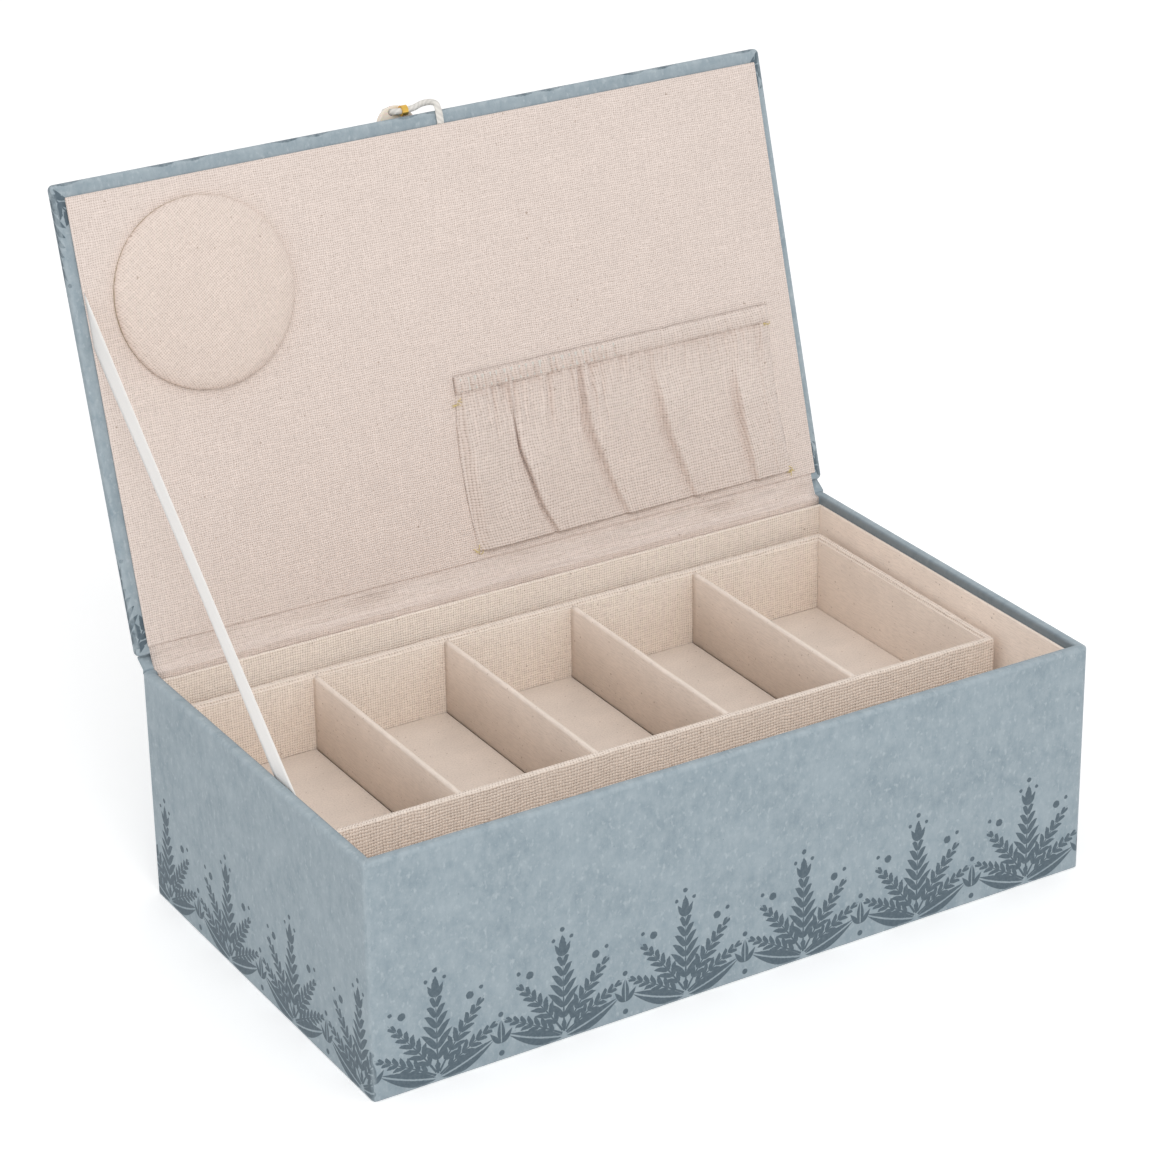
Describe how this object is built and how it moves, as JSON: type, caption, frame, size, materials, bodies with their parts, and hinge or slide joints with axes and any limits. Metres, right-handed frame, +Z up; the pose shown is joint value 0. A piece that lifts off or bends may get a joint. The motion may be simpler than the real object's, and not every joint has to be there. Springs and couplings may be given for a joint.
{
  "type": "sewing box",
  "caption": "Cloth-covered sewing box with a lift-up lid on a ribbon stay, a divided tray, a lid pincushion, a gathered pocket and a corded pull.",
  "frame": {"origin": "middle of the underside, on the surface that the box stands on", "axes": "+X along the front from left to right, +Y from the front to the hinge side, +Z up; the lid is stored open on its ribbon"},
  "size_m": [0.301, 0.232, 0.2669],
  "materials": {
    "board": "thin unfinished board, covered all over",
    "printed_cover": "mottled blue-grey cloth with a darker plant border",
    "linen": "natural linen in an open plain weave",
    "lining_cotton": "smooth cream cotton",
    "ribbon_satin": "off-white satin ribbon",
    "cushion_linen": "pale linen stretched over a pad",
    "card": "plain card",
    "pocket_cloth": "linen, gathered",
    "elastic": "woven elastic",
    "tack_thread": "ochre sewing thread",
    "pull_cord": "soft off-white cord",
    "brass": "polished brass",
    "shell": "polished cream shell"
  },
  "bodies": {
    "box": {"base_cover": "printed_cover", "base_board": "board", "front_wall": "board", "back_wall": "board", "left_wall": "board", "right_wall": "board", "box_cover": "printed_cover", "front_lining": "lining_cotton", "back_lining": "linen", "left_lining": "lining_cotton", "right_lining": "lining_cotton", "floor_lining": "lining_cotton", "left_ledge": "lining_cotton", "right_ledge": "lining_cotton", "hinge_linen": "linen", "hinge_cover": "printed_cover", "ribbon_stay": "ribbon_satin"},
    "lid": {"lid_board": "board", "lid_cover": "printed_cover", "lid_lining": "linen", "cushion_card": "card", "pincushion": "cushion_linen", "pocket": "pocket_cloth", "pocket_elastic": "elastic", "pocket_tacks": "tack_thread", "pull_cord": "pull_cord"},
    "tray": {"tray_base": "board", "tray_front_wall": "board", "tray_back_wall": "board", "tray_left_wall": "board", "tray_right_wall": "board", "tray_linen": "linen", "tray_front_lining": "lining_cotton", "tray_back_lining": "lining_cotton", "tray_left_lining": "lining_cotton", "tray_right_lining": "lining_cotton", "tray_floor_lining": "lining_cotton", "tray_divider_1": "lining_cotton", "tray_divider_2": "lining_cotton", "tray_divider_3": "lining_cotton", "tray_divider_4": "lining_cotton"},
    "pull": {"brass_bead": "brass", "shell_disc": "shell"}
  },
  "joints": [
    {"name": "lid_hinge", "type": "hinge", "parent": "box", "child": "lid", "pos_m": [0, 0.0876, 0.0948], "axis": [1, 0, 0], "range_deg": [0, 106], "deforming": ["hinge_linen", "hinge_cover", "ribbon_stay"]},
    {"name": "tray_slide", "type": "slide", "parent": "box", "child": "tray", "axis": [0, -1, 0], "range_m": [-0.0056, 0.0384]},
    {"name": "pull_swing", "type": "hinge", "parent": "lid", "child": "pull", "pos_m": [0, 0.13845, 0.26415], "axis": [1, 0, 0], "range_deg": [0, 165], "deforming": ["pull_cord"]}
  ]
}
